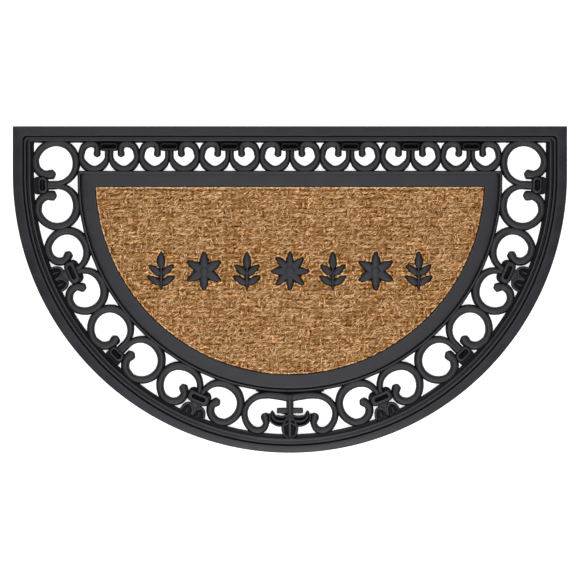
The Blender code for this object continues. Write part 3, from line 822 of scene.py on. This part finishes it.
def cut_or_joined(base, name, steps):
    """A new object: base after Boolean steps, each an operation with a collection or an object."""
    for operation, other in steps:
        modifier = base.modifiers.new(operation, "BOOLEAN")
        modifier.operation = operation
        modifier.solver = "MANIFOLD"
        if isinstance(other, bpy.types.Collection):
            modifier.operand_type = "COLLECTION"
            modifier.collection = other
        else:
            modifier.object = other
    bpy.context.view_layer.update()
    mesh = bpy.data.meshes.new_from_object(base.evaluated_get(bpy.context.evaluated_depsgraph_get()))
    mesh.name = name
    return linked(name, mesh)


def drop_group(group):
    for obj in list(group.objects):
        bpy.data.objects.remove(obj, do_unlink=True)
    bpy.data.collections.remove(group)


def finish_mesh(obj, surface, sharp_degrees=None):
    """Gives a piece its material and shading, and makes it ride on the mat's one body."""
    obj.data.materials.clear()
    obj.data.materials.append(surface)
    obj.data.shade_smooth()
    if sharp_degrees is not None:
        obj.data.set_sharp_from_angle(angle=math.radians(sharp_degrees))
    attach(obj, "root")
    return obj


def rubber_moulding():
    """The whole moulding as one closed mesh."""
    shapes, cutters = new_group("Rubber shapes"), new_group("Rubber cutters")
    rim = [d_loop(line, MAT_RADIUS, ARC_Y, TOP_Y, 1 - line.side / RIM_LINES[-1].side) for line in RIM_LINES]
    loft("rim", rim, shapes, ring=True)
    for side in (-1, 1):
        curved_border(side, shapes)
    top_border(shapes)
    centre_piece(shapes)
    ornaments(shapes)
    inner = [d_loop(line, FRAME_RADIUS, FRAME_ARC_Y, FRAME_TOP_Y) for line in FRAME_LINES]
    frame_and_floor = loft("inner_frame", inner, cutters)
    size = 3 * MAT_RADIUS
    bpy.ops.mesh.primitive_cube_add(size=size, location=(0, 0, -size / 2))
    below = bpy.context.object
    made = cut_or_joined(frame_and_floor, "rubber_moulding", (("UNION", shapes), ("DIFFERENCE", below)))
    bpy.data.objects.remove(below, do_unlink=True)
    drop_group(shapes)
    drop_group(cutters)
    return made


def smoothstep(x):
    x = np.clip(x, 0, 1)
    return x * x * (3 - 2 * x)


def inside_panel(x, y):
    """How far points lie inside the panel's outline, in metres."""
    round_side = PANEL_RADIUS - np.hypot(x, y - FRAME_ARC_Y)
    return np.minimum(round_side, PANEL_TOP_Y - y)


def inside_ornaments(x, y, grow):
    """Whether points lie on an ornament that is grown by so many metres."""
    inside = np.zeros(x.shape, bool)
    for _, base, heading, length, width in all_leaves():
        ahead = (math.sin(heading), math.cos(heading))
        along = (x - base.x) * ahead[0] + (y - base.y) * ahead[1]
        across = (x - base.x) * ahead[1] - (y - base.y) * ahead[0]
        reach = leaf_half_width(along / length, width) + grow
        inside |= (along > -grow) & (along < length + grow) & (np.abs(across) < reach)
    for _, centre, radius in all_hubs():
        inside |= np.hypot(x - centre.x, y - centre.y) < radius + grow
    return inside


def weave(x, y):
    """The weave at points in metres: how high it stands, from 0 to 1, and whether a warp yarn is on top."""
    x, y = x / MM, y / MM
    # The yarns wander in a slow and a quick wave each way, in millimetres.
    y = y + 0.9 * np.sin(x / 23.0 + 0.4) + 0.5 * np.sin(x / 9.1 + y / 31.0)
    x = x + 1.1 * np.sin(y / 17.0) + 0.6 * np.sin(y / 7.3 + x / 40.0)
    row = np.floor(y / WEFT_PITCH)
    pair = np.floor(row / 2)
    start = (pair % 2) * REPEAT_X / 2 + PATCH_STRAY * np.sin(pair * PATCH_TURN)
    from_patch = (x - start + REPEAT_X / 2) % REPEAT_X - REPEAT_X / 2
    weft_across = 2 * (y / WEFT_PITCH - row) - 1
    lift = smoothstep((np.abs(from_patch) - WARP_PITCH * PATCH_SHARE) / WEFT_RUN)
    weft = np.sqrt(np.maximum(0, 1 - YARN_CURVE * weft_across**2)) * (WEFT_UNDER + (1 - WEFT_UNDER) * lift)
    warp_across = 2 * ((from_patch / WARP_PITCH) % 1) - 1
    from_pair = np.abs(y - (pair + 0.5) * 2 * WEFT_PITCH)
    rise = smoothstep((WARP_REACH - from_pair) / WARP_RUN) * (np.abs(from_patch) < WARP_PITCH)
    warp = np.sqrt(np.maximum(0, 1 - YARN_CURVE * warp_across**2)) * rise
    return np.maximum(weft, warp), warp > weft


def weave_top(x, y):
    """The height of the woven surface, in metres. It rounds down at the panel's edge."""
    height, _ = weave(x, y)
    edge = smoothstep(inside_panel(x, y) / (EDGE_ROUND * MM))
    return (WEAVE_LOW + WEAVE_RISE * height * (1 - EDGE_FALL + EDGE_FALL * edge)) * MM


def woven_sheet():
    """The coir panel's woven ground as one closed sheet, cut to the frame and round the ornaments."""
    group = new_group("Panel shapes")
    pitch, spare = WEAVE_GRID * MM, WEAVE_SPARE * MM
    across = np.arange(PANEL_LOW.x - spare, PANEL_HIGH.x + spare, pitch)
    down = np.arange(PANEL_LOW.y - spare, PANEL_HIGH.y + spare, pitch)
    grid_x, grid_y = np.meshgrid(across, down)
    top = np.stack([grid_x, grid_y, weave_top(grid_x, grid_y)], axis=-1).reshape(-1, 3)
    wide, deep = len(across), len(down)
    index = np.arange(wide * deep).reshape(deep, wide)
    quads = np.stack([index[:-1, :-1], index[:-1, 1:], index[1:, 1:], index[1:, :-1]], -1).reshape(-1, 4)
    rim = np.concatenate([index[0, :-1], index[:-1, -1], index[-1, :0:-1], index[:0:-1, 0]])
    foot = top[rim].copy()
    foot[:, 2] = PANEL_LOW.z
    below = np.arange(len(rim)) + len(top)
    walls = np.stack([rim, below, np.roll(below, -1), np.roll(rim, -1)], -1)
    faces = quads.tolist() + walls.tolist() + [below[::-1].tolist()]
    mesh = bpy.data.meshes.new("weave_block")
    mesh.from_pydata(np.concatenate([top, foot]).tolist(), [], faces)
    mesh.validate()
    block = linked("weave_block", mesh, group)
    loops = [[(px, py, z) for px, py, _ in panel_loop(PANEL_GAP)] for z in (0.0, CUTTER_TOP)]
    cutter = loft("panel_outline", loops, group)
    posts = new_group("Panel sockets")
    sockets(posts)
    made = cut_or_joined(block, "coir_ground", (("INTERSECT", cutter), ("DIFFERENCE", posts)))
    drop_group(group)
    drop_group(posts)
    return made


def strand_faces():
    """The faces of one strand, whose points are its two tips and then its rings."""
    faces = []
    for k in range(STRAND_SIDES):
        after = (k + 1) % STRAND_SIDES
        faces.append((0, 2 + after, 2 + k))
        for ring in range(STRAND_RINGS - 1):
            low, high = 2 + STRAND_SIDES * ring, 2 + STRAND_SIDES * (ring + 1)
            faces.append((low + k, low + after, high + after, high + k))
        last = 2 + STRAND_SIDES * (STRAND_RINGS - 1)
        faces.append((1, last + k, last + after))
    return faces


def strands(name, centre, angle, length, width, lift, arch):
    """Spindle-shaped strands on the weave, joined in one mesh. All sizes are in metres."""
    count = len(angle)
    heading = np.stack([np.cos(angle), np.sin(angle)], -1)
    aside = np.stack([-heading[:, 1], heading[:, 0]], -1)
    points = np.zeros((count, 2 + STRAND_SIDES * STRAND_RINGS, 3))
    for i, share in enumerate(np.linspace(-0.5, 0.5, STRAND_RINGS + 2)):
        spot = centre + heading * (length * share)[:, None]
        hump = 1 - 4 * share**2
        spot = spot + aside * (arch[:, 0] * hump)[:, None]
        z = weave_top(spot[:, 0], spot[:, 1]) + lift + arch[:, 1] * hump
        if i in (0, STRAND_RINGS + 1):
            tip = min(i, 1)
            points[:, tip, :2] = spot
            points[:, tip, 2] = z - width * TIP_DROP
            continue
        size = width / 2 * math.sqrt(hump) * STRAND_FULLNESS
        for k in range(STRAND_SIDES):
            turn = math.tau * k / STRAND_SIDES
            at = 2 + STRAND_SIDES * (i - 1) + k
            points[:, at, :2] = spot + aside * (size * math.cos(turn))[:, None]
            points[:, at, 2] = z + size * math.sin(turn) * STRAND_FLATNESS
    return joined_mesh(name, points, strand_faces())


def joined_mesh(name, points, faces):
    """One mesh of many alike shapes: a row of points for each, and the faces of each."""
    count, each, _ = points.shape
    sizes = np.array([len(face) for face in faces], np.int32)
    corners = np.concatenate([np.array(face, np.int32) for face in faces])
    step = (np.arange(count, dtype=np.int32) * each)[:, None]
    every = (corners[None, :] + step).reshape(-1)
    starts = np.concatenate([[0], np.cumsum(np.tile(sizes, count))[:-1]]).astype(np.int32)
    mesh = bpy.data.meshes.new(name)
    mesh.vertices.add(count * each)
    mesh.vertices.foreach_set("co", points.reshape(-1).astype(np.float32))
    mesh.loops.add(len(every))
    mesh.loops.foreach_set("vertex_index", every)
    mesh.polygons.add(len(starts))
    mesh.polygons.foreach_set("loop_start", starts)
    mesh.update(calc_edges=True)
    mesh.validate()
    return linked(name, mesh)


def settled(name, rng, kind, spots, angle, length):
    """Strands of one kind at these places, each with its own width, height and bend."""
    n = len(angle)
    width = rng.uniform(*kind.width, n) * MM
    lift = rng.uniform(*kind.lift, n) * MM
    arch = np.zeros((n, 2))
    if kind.bend:
        arch = np.stack([rng.normal(0, kind.bend, n), rng.uniform(*kind.rise, n)], -1) * MM
    return strands(name, spots, angle, length, width, lift, arch)


def has_room(x, y, room):
    """Which points keep that room, in millimetres, to the panel's edge and to an ornament."""
    from_edge, from_ornament = room
    return (inside_panel(x, y) > from_edge * MM) & ~inside_ornaments(x, y, from_ornament * MM)


def scattered(rng, count, kind):
    """Places on the panel with room for a strand's middle, and the strand's length at each."""
    x = rng.uniform(PANEL_LOW.x, PANEL_HIGH.x, count)
    y = rng.uniform(PANEL_LOW.y, PANEL_HIGH.y, count)
    keep = has_room(x, y, kind.middle_room)
    return np.stack([x[keep], y[keep]], -1), rng.uniform(*kind.length, keep.sum()) * MM


def free_ones(kind, spots, angle, length):
    """The strands that have room at their ends and halfway to them."""
    keep = np.ones(len(angle), bool)
    for share in (-0.5, -0.25, 0.25, 0.5):
        x = spots[:, 0] + np.cos(angle) * length * share
        y = spots[:, 1] + np.sin(angle) * length * share
        keep &= has_room(x, y, kind.end_room)
    return spots[keep], angle[keep], length[keep]


def coir_locks(seed):
    """Flat locks of fibre that lie along the yarns, with the yarns' twist."""
    rng = np.random.default_rng(seed)
    spots, length = scattered(rng, LOCK_COUNT, LOCK)
    _, on_warp = weave(spots[:, 0], spots[:, 1])
    n = len(length)
    angle = np.where(on_warp, rng.normal(*WARP_TURN, n), rng.normal(*WEFT_TURN, n))
    stray = rng.random(n) < STRAY_SHARE
    angle = np.radians(np.where(stray, rng.uniform(*STRAY_TURN, n), angle))
    length = np.where(on_warp, length * WARP_LOCK, length)
    return settled(f"coir_locks_{seed}", rng, LOCK, *free_ones(LOCK, spots, angle, length))


def coir_hairs(seed):
    """Single fibres that have worked loose, thin and long, over the locks."""
    rng = np.random.default_rng(seed)
    spots, length = scattered(rng, HAIR_COUNT, HAIR)
    angle = np.radians(rng.normal(*HAIR_TURN, len(length)))
    return settled("coir_hairs", rng, HAIR, *free_ones(HAIR, spots, angle, length))


def along_loop(rng, loop, spacing, scatter):
    """Places along a closed outline, scattered a little across it, and its angle there."""
    corners = np.array([(px, py) for px, py, _ in loop])
    run = np.roll(corners, -1, axis=0) - corners
    length = np.hypot(run[:, 0], run[:, 1])
    count = int(length.sum() / (spacing * MM))
    side = rng.choice(len(corners), count, p=length / length.sum())
    share = rng.random(count)[:, None]
    offset = rng.uniform(scatter[0] * MM, scatter[1] * MM, count)[:, None]
    ahead = run[side] / length[side][:, None]
    aside = np.stack([-ahead[:, 1], ahead[:, 0]], -1)
    return corners[side] + run[side] * share + aside * offset, np.arctan2(ahead[:, 1], ahead[:, 0])


def panel_loop(inset):
    """The panel's outline, so many millimetres inside the frame."""
    edge = FRAME_LINES[-1]
    line = Line(*(across + inset for across in edge[:3]), 0.0, 0.0, 0.0, PANEL_CORNER)
    return d_loop(line, FRAME_RADIUS, FRAME_ARC_Y, FRAME_TOP_Y)


def edge_locks(seed):
    """Short locks pressed along the panel's outline, twice as many there, and round the ornaments."""
    rng = np.random.default_rng(seed)
    loops = [panel_loop(EDGE_INSET)] * 2
    loops += [leaf_loop(*leaf, 0.0, 0.0, EDGE_INSET * MM) for _, *leaf in all_leaves()]
    found = [along_loop(rng, loop, EDGE_SPACING, EDGE_SCATTER) for loop in loops]
    spots = np.concatenate([spot for spot, _ in found])
    angle = np.concatenate([turn for _, turn in found])
    angle = angle + np.radians(rng.normal(*EDGE_TURN, len(angle)))
    length = rng.uniform(*EDGE_LOCK.length, len(angle)) * MM
    kept = free_ones(EDGE_LOCK, spots, angle, length)
    return settled(f"coir_edge_locks_{seed}", rng, EDGE_LOCK, *kept)


def pale_edge(seed):
    """Pale strands along the panel's edge, in a band along the top and down the upper left."""
    rng = np.random.default_rng(seed)
    spots, angle = along_loop(rng, panel_loop(PALE_INSET), PALE_SPACING, PALE_SCATTER)
    top = spots[:, 1] > PANEL_TOP_Y - PALE_BAND * MM
    left = (spots[:, 0] < 0) & (spots[:, 1] > PANEL_TOP_Y - PALE_DROP * MM)
    at_top = top & (rng.random(len(angle)) < PALE_TOP_SHARE)
    keep = at_top | (left & (rng.random(len(angle)) < PALE_LEFT_SHARE))
    length = rng.uniform(*PALE.length, keep.sum()) * MM
    return settled("coir_pale_edge", rng, PALE, spots[keep], angle[keep], length)


def coir_panel():
    """The woven ground and the strands on it, as its own piece and a list of pieces."""
    ground = finish_mesh(woven_sheet(), coir_material("coir_ground", GROUND_TONES))
    toned = coir_material("coir_lock", LOCK_TONES)
    fair = coir_material("coir_hair", HAIR_TONES)
    fibres = [coir_locks(seed) for seed in LOCK_SEEDS] + [edge_locks(EDGE_SEED)]
    for piece in fibres:
        finish_mesh(piece, toned)
    pale = coir_material("coir_pale_strand", PALE_TONES)
    fibres += [finish_mesh(coir_hairs(HAIR_SEED), fair), finish_mesh(pale_edge(PALE_SEED), pale)]
    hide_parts("coir_panel")
    return ground, fibres


def softbox(kind):
    """A soft light that faces the middle of the mat."""
    light = bpy.data.lights.new(kind.name, "AREA")
    light.shape = "RECTANGLE"
    light.size, light.size_y = kind.size
    light.energy = kind.power
    made = linked(kind.name, light)
    made.location = kind.place
    made.rotation_mode = "QUATERNION"
    made.rotation_quaternion = (-Vector(kind.place)).to_track_quat("-Z", "Y")


def studio():
    """A white floor under soft light, strongest from the round side."""
    bpy.ops.mesh.primitive_plane_add(size=FLOOR_SIZE, location=(0, 0, -FLOOR_DROP))
    floor = bpy.context.object
    floor.name = "studio_floor"
    white, *_ = material("white_floor", Base_Color=(0.9, 0.9, 0.9, 1), Roughness=1.0, Specular_IOR_Level=0.0,
                         Emission_Color=(1, 1, 1, 1), Emission_Strength=FLOOR_GLOW)
    floor.data.materials.append(white)
    for kind in LIGHTS:
        softbox(kind)
    world = bpy.data.worlds.new("studio_world")
    bpy.context.scene.world = world
    world.use_nodes = True
    set_sockets(world.node_tree.nodes["Background"], {"Color": (1, 1, 1, 1), "Strength": WORLD_GLOW})
    bpy.context.scene.view_settings.view_transform = "Standard"


def camera_above():
    """The camera, straight above the mat."""
    data = bpy.data.cameras.new("camera")
    data.lens, data.sensor_width = LENS, SENSOR
    data.clip_start, data.clip_end = 0.1, 20
    camera = linked("camera", data)
    camera.location = (CAMERA_X * MM, CAMERA_Y * MM, VIEW_LEVEL * MM + VIEW_WIDTH * MM * LENS / SENSOR)
    bpy.context.scene.camera = camera


def main():
    studio()
    camera_above()
    moulding = finish_mesh(rubber_moulding(), rubber_material(), SHARP_DEGREES)
    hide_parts("rubber_mat")
    ground, fibres = coir_panel()


main()
